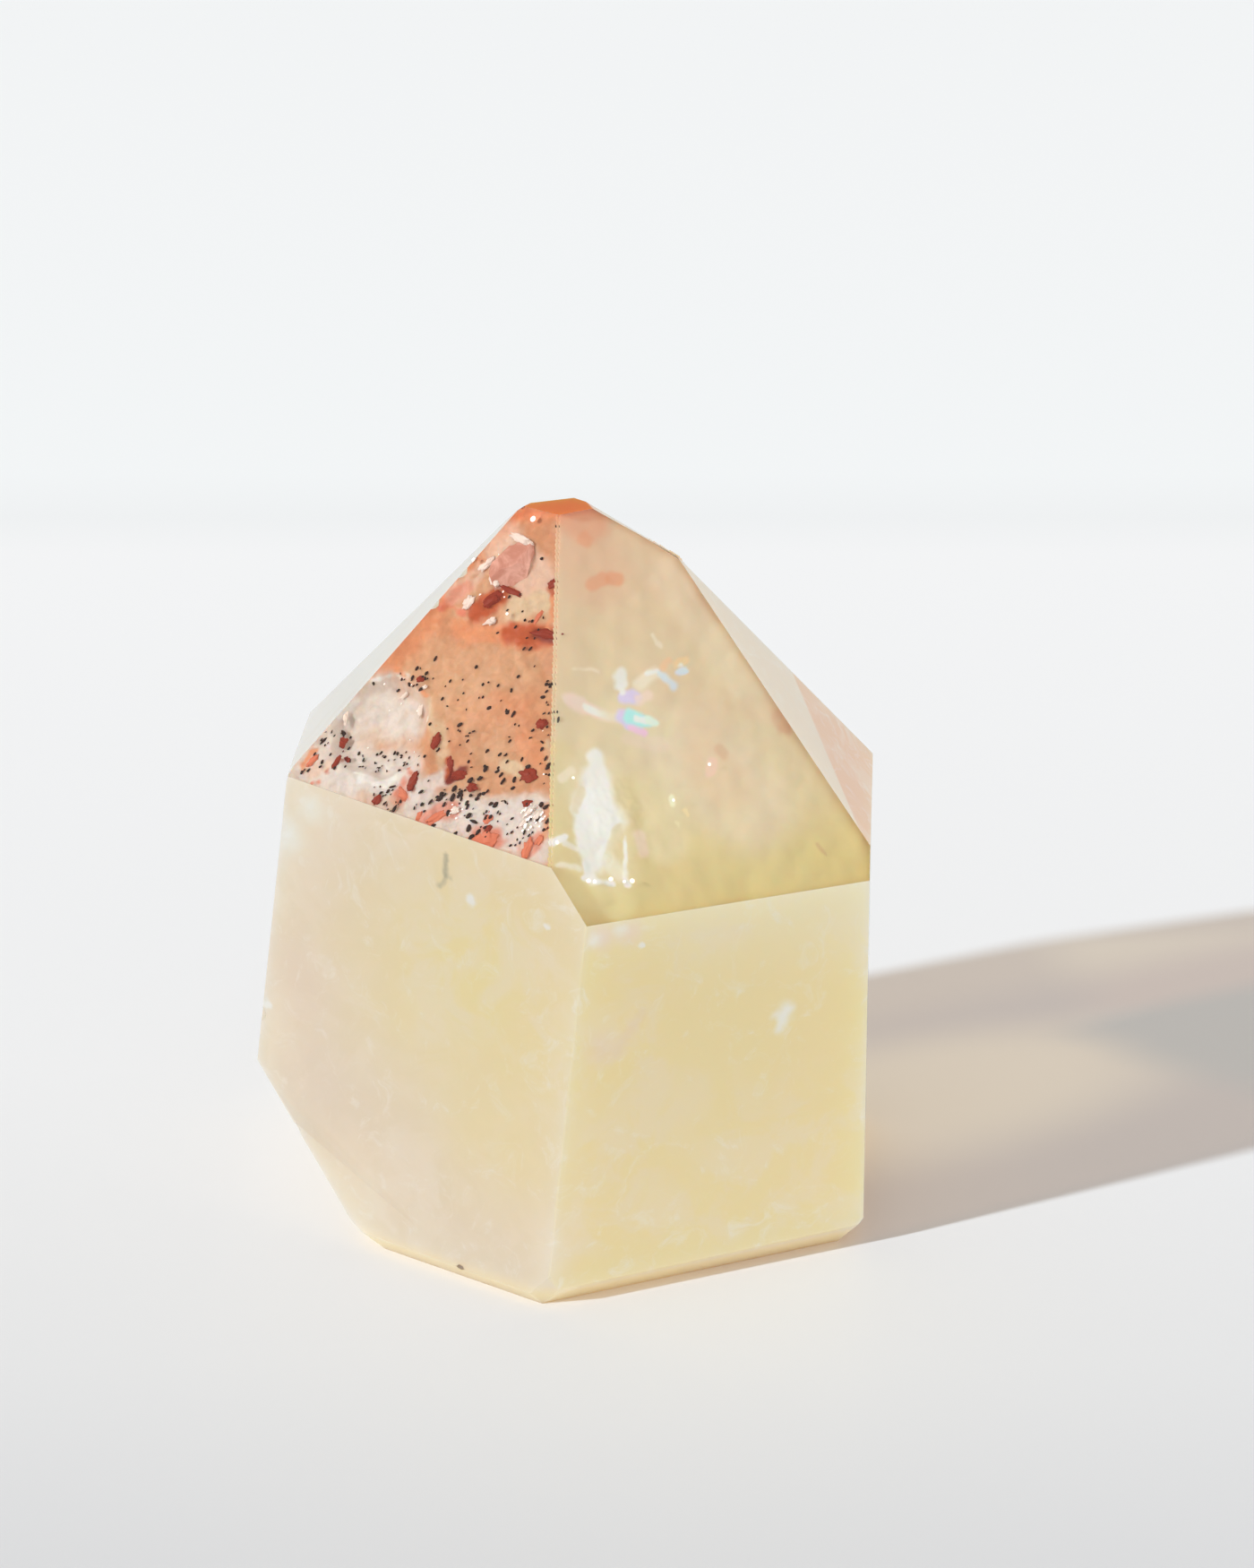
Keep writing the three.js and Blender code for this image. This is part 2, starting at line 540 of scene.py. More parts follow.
# Streaks in the milk: the pixels where each starts and ends, then as above.
STREAKS = {
    "dark inclusion": (497, 955, 498, 976, 0.5, SMOKE, 0.65),
    "its foot": (497, 980, 491, 990, 0.5, SMOKE, 0.45),
    "its side": (498, 976, 504, 980, 0.4, SMOKE, 0.3),
    "lilac streak": (688, 1176, 716, 1132, 1.0, LILAC, 0.35),
    "white fleck": (879, 1126, 876, 1134, 1.3, SNOW, 1.0),
    "foot of the white fleck": (874, 1142, 871, 1148, 0.9, SNOW, 0.9),
    "side of the white fleck": (866, 1134, 872, 1138, 0.8, SNOW, 0.7),
    "white veil": (408, 1310, 424, 1350, 1.3, SHELL, 0.9),
    "white veil beside it": (420, 1350, 440, 1372, 0.9, SHELL, 0.8),
}


def quartz_colours(tree, place):
    loose = warp(tree, place, 7, 1.3)
    tight = warp(tree, place, 1.2, 0.25)
    wide = cloud(tree, place, 16, 3, 0.55, 0.6)
    fine = cloud(tree, place, 5, 4, 0.6, 0.8)
    colour = blend(tree, ramp(tree, fine, 0.35, 0.7, 0.0, 0.5), MILK, SHELL)
    right = blend(tree, along(tree, loose, (0.2, 0, 1), 30, 44), HONEY, BUTTER)
    from_edge = ramp(tree, along(tree, loose, (1, 0, 0), -3, 5), 0.0, 1.0, 0.45, 1.0)
    share = times(tree, on_facet(tree, place, "front right wall"), from_edge)
    colour = blend(tree, share, colour, right)
    # Painted reflection: past a line on the right crown the colour turns pink, where an inner face is mirrored.
    split = (under("right crown", 957, 920) - under("right crown", 895, 775)).normalized()
    beyond = FACETS["right crown"][1].cross(split)
    level = under("right crown", 895, 775).dot(beyond) / MM
    side = blend(tree, along(tree, place, beyond, level - 0.3, level + 0.3), PEARL, PINK_STAIN_AND_REFLECTION)
    colour = blend(tree, on_facet(tree, place, "right crown"), colour, side)
    for name in ("left crown", "left shoulder"):
        colour = blend(tree, times(tree, on_facet(tree, place, name), 0.8), colour, SNOW)
    for px, py, reach, tint, strength in SPOTS.values():
        spot = near(tree, loose if reach > 4 else tight, skin(px, py), reach)
        colour = blend(tree, times(tree, spot, strength), colour, tint)
    mottle = times(tree, ramp(tree, wide, 0.42, 0.6, 0.0, 0.4), ramp(tree, fine, 0.4, 0.6))
    colour = blend(tree, mottle, colour, SHELL)
    wisps = ramp(tree, cloud(tree, loose, 4, 7, 0.68, 1.6), 0.52, 0.72, 0.0, 0.45)
    colour = blend(tree, wisps, colour, SNOW)
    # Painted highlights: white spots where the skin sparkles.
    for px, py, reach, strength in PAINTED_SKIN_GLINTS.values():
        skin_glint = near(tree, tight, skin(px, py), reach, 0.3)
        colour = blend(tree, times(tree, skin_glint, strength), colour, SNOW)
    for x1, y1, x2, y2, reach, tint, strength in STREAKS.values():
        line = streak(tree, tight, skin(x1, y1), skin(x2, y2), reach)
        colour = blend(tree, times(tree, line, strength), colour, tint)
    # Painted light: the bottom 2.6 mm turn warm and lighter, as bounce light from the table.
    colour = blend(tree, along(tree, place, (0, 0, -1), -2.6, -0.8), colour, PAINTED_BASE_GLOW)
    tip = near(tree, loose, under("tip", 612, 566), 5.2, 0.45)
    return blend(tree, maths(tree, "MAXIMUM", tip, on_facet(tree, place, "tip")), colour, RUST)


# What the clear quartz takes from light on its way: the colour left over, and how strongly.
ABSORBED = (1.0, 0.96, 0.80, 1)
ABSORPTION = 30


def quartz_material():
    material, tree, shader = new_material("milky_citrine")
    place = object_place(tree)
    window = on_facet(tree, place, "window", 0.02)
    window = maths(tree, "MAXIMUM", window, on_facet(tree, place, "front right crown", 0.02))
    colour = blend(tree, window, quartz_colours(tree, place), WATER)
    tree.links.new(colour, shader.inputs["Base Color"])
    clear = node(tree, "Mix", {0: window, 2: 0.04, 3: 1.0}).outputs[0]
    tree.links.new(clear, shader.inputs["Transmission Weight"])
    shader.inputs["Roughness"].default_value = 0.06
    shader.inputs["IOR"].default_value = QUARTZ_IOR
    shader.inputs["Subsurface Weight"].default_value = 1.0
    shader.inputs["Subsurface Radius"].default_value = (1.0, 0.9, 0.75)
    shader.inputs["Subsurface Scale"].default_value = 0.007
    # Painted light: the bottom 3.5 mm glow faintly warm, though no lamp is there.
    base_glow_band = along(tree, place, (0, 0, -1), -3.5, -0.5)
    tree.links.new(times(tree, base_glow_band, 0.08), shader.inputs["Emission Strength"])
    shader.inputs["Emission Color"].default_value = (1.0, 0.68, 0.36, 1)
    inputs = {"Color": ABSORBED, "Density": ABSORPTION}
    volume = node(tree, "VolumeAbsorption", inputs)
    tree.links.new(volume.outputs[0], tree.nodes["Material Output"].inputs["Volume"])
    far_side = along(tree, place, (1, 0, 0), 5, 15)
    pass_colour = blend(tree, far_side, (0.50, 0.34, 0.18), (0.26, 0.09, 0.04))
    glow = near(tree, place, Vector((24, 10, 7)) * MM, 18, 0.3)
    pass_colour = blend(tree, glow, pass_colour, (1.0, 1.0, 0.98))
    for name in ("left crown", "left shoulder", "tip left"):
        pass_colour = blend(tree, on_facet(tree, place, name), pass_colour, (0.9, 0.88, 0.85))
    pass_colour = blend(tree, window, pass_colour, (1.0, 1.0, 1.0))
    passing = node(tree, "BsdfTransparent", {"Color": pass_colour})
    lamp_ray = node(tree, "LightPath").outputs["Is Shadow Ray"]
    mix = node(tree, "MixShader", {0: lamp_ray, 1: shader.outputs[0], 2: passing.outputs[0]})
    tree.links.new(mix.outputs[0], tree.nodes["Material Output"].inputs["Surface"])
    return material


finish_piece(body, quartz_material(), body_group)
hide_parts("citrine_tower")

# %% [markdown]
# ## Painted sheets inside the stone
# Two old growth faces of the crystal lie close under its skin. Each is modelled as a thin, wavy
# sheet, cut where it would come out of the stone. Its stains are painted on its points by formula,
# as soft streaks with a start, an end and a width, because real stains follow cracks and have no
# sharp outline.

# %% Tools for the painted sheets
SHEET_WALL = 0.2
# A mineral inside quartz shines far less than in air, because the two bend light almost alike.
INNER_SHINE = 0.1


def wavy_sheet(name, facet_name, middle, size, grid, height, margins):
    """A thin sheet under a facet. Its height in mm is a function of the place in mm."""
    bpy.ops.object.select_all(action="DESELECT")
    bpy.ops.mesh.primitive_grid_add(
        x_subdivisions=grid, y_subdivisions=grid, size=size * MM,
        location=middle, rotation=facet_turn(facet_name).to_euler(),
    )
    sheet = bpy.context.object
    sheet.name = name
    sheet.data.name = name
    settle(sheet)
    out = FACETS[facet_name][1] * MM
    for point in sheet.data.vertices:
        point.co += out * height(point.co / MM)
    cut_to_stone(sheet, margins)
    add_modifier(sheet, "SOLIDIFY", thickness=SHEET_WALL * MM, offset=-1)
    smooth(sheet, 60)
    return sheet


def distance_to(point, start, end):
    way = end - start
    share = max(0.0, min(1.0, (point - start).dot(way) / max(way.length_squared, 1e-12)))
    return (point - start - way * share).length


def paint(sheet, facet_name, depth, stains, ground, looseness):
    """Gives each point of a sheet its ground colour, then lays the stains over it."""
    lines = []
    for x1, y1, x2, y2, width, stain, strength in stains.values():
        start = under(facet_name, x1, y1, depth) / MM
        end = under(facet_name, x2, y2, depth) / MM
        lines.append((start, end, width, Vector(stain), strength))
    values = []
    for point in sheet.data.vertices:
        spot = point.co / MM
        shift = Vector(noise.noise_vector(spot * 0.35)) * 0.7 + Vector(noise.noise_vector(spot * 1.3)) * 0.3
        moved = spot + shift * looseness
        colour = ground(spot)
        for start, end, width, stain, strength in lines:
            gap = distance_to(moved, start, end) / width
            if gap < 1.4:
                colour = colour.lerp(stain, strength * soft_step(1.4 - gap, 0.0, 0.8))
        values.extend((*colour, 1.0))
    colours = sheet.data.color_attributes.new("stain", "FLOAT_COLOR", "POINT")
    colours.data.foreach_set("color", values)


def sheet_material(name, grain_size, grain_depth, grain_tone):
    material, tree, shader = new_material(name)
    place = object_place(tree)
    stain = node(tree, "Attribute", attribute_name="stain").outputs["Color"]
    grain = cloud(tree, place, grain_size, 4, 0.65, 0.5)
    value = ramp(tree, grain, 0.3, 0.7, 1 - grain_tone, 1 + grain_tone)
    lighter = node(tree, "HueSaturation", {"Color": stain, "Value": value})
    tree.links.new(lighter.outputs["Color"], shader.inputs["Base Color"])
    shader.inputs["Roughness"].default_value = 0.4
    shader.inputs["Specular IOR Level"].default_value = INNER_SHINE
    shader.inputs["Subsurface Weight"].default_value = 0.6
    shader.inputs["Subsurface Radius"].default_value = (1.0, 0.5, 0.3)
    shader.inputs["Subsurface Scale"].default_value = 0.0006
    bump = node(tree, "Bump", {"Height": grain, "Strength": 0.4, "Distance": grain_depth * MM})
    tree.links.new(bump.outputs[0], shader.inputs["Normal"])
    return material


# %% [markdown]
# ## The hematite veil
# The sheet under the window is dusted with peach and orange iron oxide. At its left it dips into a
# clear hollow with a pale floor, and toward the tip it is torn into red rags.

# %% The hematite veil
VEIL_DEPTH = 1.1
CRACK_DEPTH = 0.9
CRACK_NAME = "front right crown"
PEACH = (0.665, 0.34, 0.19)
APRICOT = (0.70, 0.42, 0.255)
CREAM = (0.76, 0.59, 0.41)
FLAME = (0.82, 0.35, 0.18)
CORAL = (0.78, 0.27, 0.18)
BRICK = (0.54, 0.12, 0.04)
MAROON = (0.24, 0.03, 0.018)
PALE = (0.79, 0.71, 0.68)
BLUSH = (0.83, 0.60, 0.49)
FROST = (0.99, 0.96, 0.94)

# Each stain has its first and last pixel in the picture, its width in mm, its colour and its strength.
VEIL_STAINS = {
    "pale lower left": (325, 872, 440, 905, 2.4, PALE, 1.0),
    "pale corner": (332, 860, 380, 818, 2.0, PALE, 0.9),
    "pale foot": (440, 905, 600, 935, 2.4, PALE, 0.9),
    "pale foot at the right": (560, 915, 605, 900, 1.4, PALE, 0.8),
    "orange along the left edge": (418, 760, 560, 596, 1.3, FLAME, 0.55),
    "orange below the tip": (572, 574, 640, 566, 1.0, FLAME, 0.9),
    "pink field at the top": (560, 610, 600, 650, 2.0, BLUSH, 0.8),
    "cream by the lump": (575, 680, 605, 665, 1.1, CREAM, 0.9),
    "pale left rag": (505, 665, 530, 640, 1.0, BLUSH, 0.9),
    "peach tail of the band": (512, 702, 558, 706, 1.0, FLAME, 0.85),
    "orange round the band": (565, 708, 615, 710, 1.1, FLAME, 0.9),
    "thin line to the edge": (484, 678, 520, 685, 0.3, CORAL, 0.95),
    "dark band": (568, 706, 620, 710, 1.05, BRICK, 1.0),
    "dark end of the band": (600, 708, 620, 710, 0.6, MAROON, 0.9),
    "dark smear": (532, 682, 558, 664, 0.85, BRICK, 1.0),
    "dark tail of the smear": (556, 662, 584, 660, 0.4, BRICK, 0.9),
    "red haze at the left edge": (497, 675, 520, 655, 0.7, CORAL, 0.6),
    "ridge strip": (617, 660, 612, 698, 0.35, FLAME, 0.9),
    "ridge spot": (617, 648, 619, 654, 0.5, BRICK, 0.9),
    "pink haze": (500, 745, 560, 740, 1.6, APRICOT, 0.8),
    "orange field": (520, 790, 600, 790, 1.4, FLAME, 0.35),
    "beige middle": (530, 796, 566, 836, 2.4, CREAM, 0.14),
    "cream middle": (478, 790, 500, 850, 0.7, CREAM, 0.7),
    "cream low": (560, 850, 572, 858, 0.8, CREAM, 0.95),
    "cream far right": (610, 835, 612, 850, 0.5, CREAM, 0.8),
    "orange near the ridge": (590, 825, 600, 848, 1.1, FLAME, 0.6),
    "clear patch": (418, 785, 440, 800, 2.9, PALE, 1.0),
    "clear patch left": (385, 800, 400, 835, 2.2, PALE, 1.0),
    "clear patch low": (400, 850, 452, 856, 2.0, PALE, 1.0),
    "frost at the left of the patch": (385, 805, 402, 780, 0.7, FROST, 0.9),
    "frost at the top of the patch": (415, 762, 455, 757, 0.45, FROST, 0.9),
    "frost in the patch": (400, 812, 430, 800, 0.8, FROST, 0.4),
    "frost line in the patch": (400, 822, 452, 838, 0.25, FROST, 0.7),
    "frost at the right of the patch": (468, 785, 472, 805, 0.4, FROST, 0.9),
    "frost low": (405, 865, 440, 870, 0.5, FROST, 0.7),
    "frost line below the patch": (400, 856, 445, 880, 0.2, FROST, 0.8),
    "brown haze in the patch": (430, 800, 450, 795, 0.7, CREAM, 0.6),
    "rim of the patch": (445, 748, 475, 778, 0.35, FLAME, 0.8),
    "right rim of the patch": (470, 790, 462, 830, 0.3, APRICOT, 0.8),
    "orange line down": (460, 838, 456, 870, 0.22, CORAL, 0.9),
    "red tail": (458, 872, 444, 890, 0.55, CORAL, 0.95),
    "pale lower middle": (470, 880, 500, 862, 0.9, PALE, 0.9),
    "pale lower right": (520, 905, 600, 905, 1.3, PALE, 0.8),
    "peach haze lower left": (405, 888, 438, 900, 0.8, APRICOT, 0.45),
    "left ring above": (340, 856, 352, 838, 0.45, FLAME, 0.9),
    "left ring middle": (348, 860, 368, 860, 0.7, BLUSH, 0.8),
    "left ring right": (372, 868, 380, 848, 0.35, BRICK, 0.8),
    "left ring below": (350, 875, 372, 868, 0.25, CORAL, 0.8),
    "coral lower edge": (464, 920, 505, 903, 0.75, CORAL, 0.75),
    "coral heart": (530, 938, 556, 935, 0.95, CORAL, 0.9),
    "coral corner": (584, 950, 598, 935, 0.7, CORAL, 0.8),
    "orange corner": (606, 930, 612, 900, 0.5, FLAME, 0.8),
    "maroon hook": (502, 846, 506, 862, 0.4, BRICK, 1.0),
    "maroon foot": (506, 864, 518, 864, 0.45, MAROON, 1.0),
    "thin orange streak": (489, 795, 486, 815, 0.2, FLAME, 0.9),
}


def veil_height(spot):
    wave = 0.5 * noise.fractal(spot * 0.16, 0.6, 2.0, 4) + 0.1 * noise.fractal(spot * 0.9, 0.7, 2.0, 3)
    wave *= soft_step(below(spot, CRACK_NAME), 0.8, 3.0)
    gap = (spot - veil_hollow).length + 0.8 * noise.noise(spot * 0.5)
    return max(-1.0, min(0.6, wave)) - 1.4 * soft_step(5.2 - gap, 0.0, 1.6)


def veil_ground(spot):
    share = 0.5 + 0.5 * noise.fractal(spot * 0.2, 0.8, 2.0, 4)
    return Vector(PEACH).lerp(Vector(APRICOT), soft_step(share, 0.3, 0.75))


veil_hollow = under("window", 425, 812, VEIL_DEPTH) / MM
veil_middle = under("window", 490, 790, VEIL_DEPTH)
veil_margins = {CRACK_NAME: CRACK_DEPTH + 0.1}
veil = wavy_sheet("hematite_veil", "window", veil_middle, 44, 300, veil_height, veil_margins)
paint(veil, "window", VEIL_DEPTH, VEIL_STAINS, veil_ground, 1.0)
finish_piece(veil, sheet_material("iron_oxide_veil", 0.8, 0.1, 0.06), inner_group)

# %% [markdown]
# ## The milky veil with the healed crack
# Under the front right crown facet lies a smooth milky veil, brownish at the tip, sandy in the
# middle and greenish yellow below. A crack has healed in it. Its lower part is a white, crumpled
# feather with glowing beads along its foot, which are painted glints. Higher up it is so thin that it
# shows a small rainbow, as oil on water does.

# %% The milky veil
CROWN_LOW = 40
CROWN_HIGH = 60
TAN = (0.785, 0.60, 0.42)
SAND = (0.785, 0.665, 0.46)
MOSS = (0.76, 0.635, 0.285)
OLIVE = (0.73, 0.64, 0.33)
STRAW = (0.82, 0.71, 0.50)
ROSE = (0.95, 0.74, 0.67)
VIOLET = (0.76, 0.68, 1.0)
CYAN = (0.45, 0.95, 1.0)
MAGENTA = (1.0, 0.62, 0.90)
MINT = (0.78, 1.0, 0.88)
SKY = (0.70, 0.84, 1.0)

CRACK_STAINS = {
    "olive beside the feather": (700, 890, 715, 980, 1.8, OLIVE, 0.5),
    "pale haze right of the feather": (738, 880, 745, 935, 2.2, (0.86, 0.74, 0.50), 0.8),
    "olive at the ridge": (626, 850, 630, 930, 1.6, OLIVE, 0.5),
    "olive in the corner": (640, 1000, 690, 1020, 2.2, OLIVE, 0.25),
    "olive low right": (800, 960, 880, 970, 2.6, OLIVE, 0.4),
    "pale low corner": (642, 988, 692, 1010, 1.5, (0.84, 0.74, 0.42), 0.6),
    "pale haze in the middle": (770, 830, 830, 900, 4.2, (0.83, 0.71, 0.57), 0.6),
    "pink haze in the middle": (790, 850, 815, 880, 2.2, PINK_STAIN_AND_REFLECTION, 0.25),
    "brown cloud": (735, 770, 790, 800, 2.8, TAN, 0.45),
    "pale edge": (740, 640, 850, 790, 1.4, SHELL, 0.25),
    "haze round the feather": (662, 870, 680, 960, 2.6, STRAW, 0.6),
    "feather top": (663, 846, 668, 868, 0.75, FROST, 0.9),
    "feather shoulder": (666, 872, 668, 885, 1.35, FROST, 0.95),
    "feather body": (664, 900, 672, 915, 1.9, FROST, 1.0),
    "feather left": (646, 905, 652, 945, 0.75, FROST, 0.95),
    "feather low": (668, 930, 666, 958, 1.25, FROST, 0.95),
    "feather stem": (658, 962, 660, 980, 0.6, FROST, 0.95),
    "feather fold": (690, 925, 676, 968, 0.45, STRAW, 0.7),
    "feather shade": (650, 880, 641, 905, 0.35, STRAW, 0.7),
    "feather edge": (697, 938, 699, 984, 0.24, FROST, 1.0),
    "feather haze low": (680, 960, 692, 972, 0.7, FROST, 0.4),
    "feather rag": (712, 936, 719, 950, 0.65, ROSE, 0.7),
    "feather foot": (652, 981, 684, 984, 0.30, FROST, 1.0),
    "rag at the ridge": (628, 868, 640, 862, 0.42, SHELL, 0.8),
    "bright rag at the ridge": (617, 938, 630, 934, 0.3, FROST, 1.0),
    "foot of that rag": (630, 940, 642, 946, 0.25, FROST, 0.7),
    "lower rag at the ridge": (624, 964, 646, 970, 0.35, FROST, 0.55),
    "rose lobe": (638, 783, 650, 788, 0.75, ROSE, 0.95),
    "rose streak": (640, 783, 694, 803, 0.55, ROSE, 0.95),
    "white heart of the streak": (655, 789, 692, 802, 0.32, FROST, 0.9),
    "haze of the rainbow": (690, 790, 735, 810, 1.6, STRAW, 0.7),
    "violet": (699, 781, 711, 779, 0.65, VIOLET, 1.0),
    "pink right of it": (716, 782, 724, 778, 0.55, ROSE, 0.7),
    "violet edge": (693, 800, 700, 808, 0.55, VIOLET, 1.0),
    "magenta": (704, 812, 720, 817, 0.4, MAGENTA, 0.9),
    "cyan": (702, 801, 716, 804, 0.62, CYAN, 1.0),
    "cyan right": (716, 804, 727, 805, 0.45, CYAN, 1.0),
    "white heart of the cyan": (710, 803, 722, 804, 0.3, (0.90, 1.0, 1.0), 0.9),
    "mint": (727, 803, 732, 806, 0.4, MINT, 1.0),
    "rose below": (700, 826, 740, 830, 0.7, ROSE, 0.35),
    "white rag high": (691, 754, 694, 764, 0.65, FROST, 0.9),
    "foot of the white rag": (694, 768, 697, 776, 0.3, FROST, 0.8),
    "cream rags": (715, 764, 730, 752, 0.65, SHELL, 0.95),
    "bright edge of the rags": (722, 754, 732, 750, 0.3, FROST, 0.9),
    "sky rag": (738, 754, 750, 764, 0.5, SKY, 0.85),
    "rose rag": (740, 746, 748, 738, 0.45, PINK_STAIN_AND_REFLECTION, 0.8),
    "orange fringe": (753, 742, 768, 734, 0.34, (1.0, 0.70, 0.42), 1.0),
    "white heart of the fringe": (756, 743, 762, 740, 0.22, FROST, 1.0),
    "blue fringe": (757, 749, 766, 746, 0.32, SKY, 1.0),
    "small rags": (640, 745, 668, 748, 0.25, SHELL, 0.8),
    "top sparks": (728, 708, 738, 722, 0.25, SHELL, 0.8),
    "yellow sparks": (750, 888, 752, 898, 0.3, (1.0, 0.93, 0.70), 1.0),
    "yellow spark right of them": (767, 903, 770, 908, 0.22, (1.0, 0.80, 0.50), 1.0),
    "yellow line": (757, 918, 766, 952, 0.22, (0.97, 0.86, 0.60), 0.8),
    "orange haze at the tip": (640, 575, 655, 585, 1.8, FLAME, 0.8),
    "pink haze under the tip": (650, 610, 665, 640, 3.0, (0.80, 0.52, 0.36), 0.5),
    "orange smudge": (660, 652, 674, 644, 0.6, FLAME, 0.6),
    "orange smudge right of it": (684, 644, 692, 646, 0.6, FLAME, 0.7),
    "faint smudge above": (652, 600, 656, 604, 0.6, FLAME, 0.5),
    "orange spot at the right edge": (870, 798, 876, 810, 0.9, APRICOT, 0.7),
    "brown haze by it": (840, 790, 866, 796, 1.2, TAN, 0.5),
    "pink round the spark": (791, 862, 793, 850, 0.5, (0.95, 0.66, 0.56), 0.8),
    "brown haze above it": (804, 836, 808, 842, 0.6, APRICOT, 0.4),
    "dark line": (912, 941, 922, 955, 0.2, (0.60, 0.40, 0.22), 0.6),
}


def crack_height(spot):
    wave = 0.3 * noise.fractal(spot * 0.15, 0.6, 2.0, 3)
    close = soft_step(6.0 - (spot - feather_middle).length, 0.0, 3.0)
    crumple = 0.12 * noise.fractal(spot * 0.5, 0.6, 2.0, 3)
    calm = soft_step(below(spot, "window"), 0.8, 2.6)
    return max(-0.5, min(0.4, calm * (wave + close * crumple)))


def crack_ground(spot):
    cloudy = 2.5 * noise.fractal(spot * 0.12, 0.8, 2.0, 3)
    low = Vector(MOSS).lerp(Vector(SAND), soft_step(spot.z + cloudy, CROWN_LOW - 4, CROWN_LOW + 9))
    return low.lerp(Vector(TAN), soft_step(spot.z + cloudy, CROWN_HIGH - 9, CROWN_HIGH + 5))


feather_middle = under(CRACK_NAME, 668, 925, CRACK_DEPTH) / MM
crack_middle = under(CRACK_NAME, 780, 830, CRACK_DEPTH)
crack_margins = {"window": CRACK_DEPTH - 0.04}
crack = wavy_sheet("milky_veil", CRACK_NAME, crack_middle, 52, 400, crack_height, crack_margins)
paint(crack, CRACK_NAME, CRACK_DEPTH, CRACK_STAINS, crack_ground, 0.55)
finish_piece(crack, sheet_material("milky_quartz_veil", 4, 0.03, 0.015), inner_group)

# %% [markdown]
# ## Grains, lumps and painted glints
# Hematite grows as small dark plates, most of them longer than wide and leaning the same way. One
# grain and one lump are modelled, then copied, each with a mesh of its own, and laid on the veil.
# The glints are small white flakes that glow a little: painted highlights, where the stone catches the sun.

# %% Tools for what lies on the veil
rng = random.Random(41)


def above(sheet, name, px, py, lift):
    """The place seen at a pixel that lies a lift in mm before a sheet, or None off the sheet."""
    start = under(name, px, py)
    way = (under(name, px, py, 1.0) - start).normalized()
    hit, place, normal, face = sheet.ray_cast(start, way)
    return place - way * lift * MM if hit else None


def is_inside(place, margin):
    """Whether a place is clear of the milky veil and deeper than a margin in mm under all facets."""
    if below(place / MM, CRACK_NAME) < CRACK_DEPTH + 0.25:
        return False
    return all((point - place).dot(normal) > margin * MM for point, normal in FACETS.values())


def seed_shape(name, subdivisions):
    bpy.ops.object.select_all(action="DESELECT")
    bpy.ops.mesh.primitive_ico_sphere_add(subdivisions=subdivisions, radius=0.5)
    seed = bpy.context.object
    seed.name = name
    edit(seed)
    bpy.ops.mesh.faces_shade_smooth()
    done()
    return seed


def laid(seed, name, place, size, tilt, rough, sway=0.0):
    """A copy of the seed on a facet's plane: size in mm along, across and out, tilt in degrees."""
    copy = seed.copy()
    copy.data = seed.data.copy()
    offset = Vector((rng.uniform(0, 90), rng.uniform(0, 90), rng.uniform(0, 90)))
    for point in copy.data.vertices:
        swell = 1 + rough * (noise.noise(point.co * 3 + offset) + 0.5 * noise.noise(point.co * 8 + offset))
        point.co = Vector((point.co.x * size[0], point.co.y * size[1], point.co.z * size[2])) * (swell * MM)
    turn = facet_turn(name) @ Matrix.Rotation(math.radians(tilt), 3, "Z")
    turn = turn @ Matrix.Rotation(math.radians(rng.uniform(-sway, sway)), 3, "X")
    copy.data.transform(Matrix.Translation(place) @ turn.to_4x4())
    bpy.context.collection.objects.link(copy)
    return copy


def plain_material(name, colour, roughness, glow=0.0):
    material, tree, shader = new_material(name)
    shader.inputs["Base Color"].default_value = (*colour, 1)
    shader.inputs["Roughness"].default_value = roughness
    shader.inputs["Specular IOR Level"].default_value = INNER_SHINE
    shader.inputs["Emission Color"].default_value = (*colour, 1)
    shader.inputs["Emission Strength"].default_value = glow
    return material


small_seed = seed_shape("grain_seed", 2)
large_seed = seed_shape("lump_seed", 4)
print("seeds:", len(small_seed.data.polygons), "and", len(large_seed.data.polygons), "faces")

# %% Hematite specks
# Fields of specks: the middle pixel, the reach across and down in pixels, how many, and their sizes in mm.
SPECK_FIELDS = {
    "right field": (560, 795, 62, 62, 30, 0.22, 0.50),
    "along the ridge": (613, 815, 9, 62, 34, 0.22, 0.55),
    "lower right": (570, 890, 48, 42, 42, 0.20, 0.75),
    "lower middle": (505, 900, 38, 34, 36, 0.20, 0.75),
    "lower left": (442, 893, 30, 16, 30, 0.18, 0.55),
    "in the clear patch": (430, 850, 30, 12, 30, 0.20, 0.42),
    "left corner": (368, 838, 30, 24, 22, 0.22, 0.50),
    "top of the patch": (462, 758, 18, 14, 14, 0.22, 0.50),
    "left field": (500, 800, 34, 60, 14, 0.20, 0.40),
    "below the band": (590, 712, 36, 14, 6, 0.22, 0.42),
    "top": (592, 660, 26, 40, 8, 0.20, 0.40),
    "lowest corner": (575, 930, 40, 16, 16, 0.22, 0.50),
}
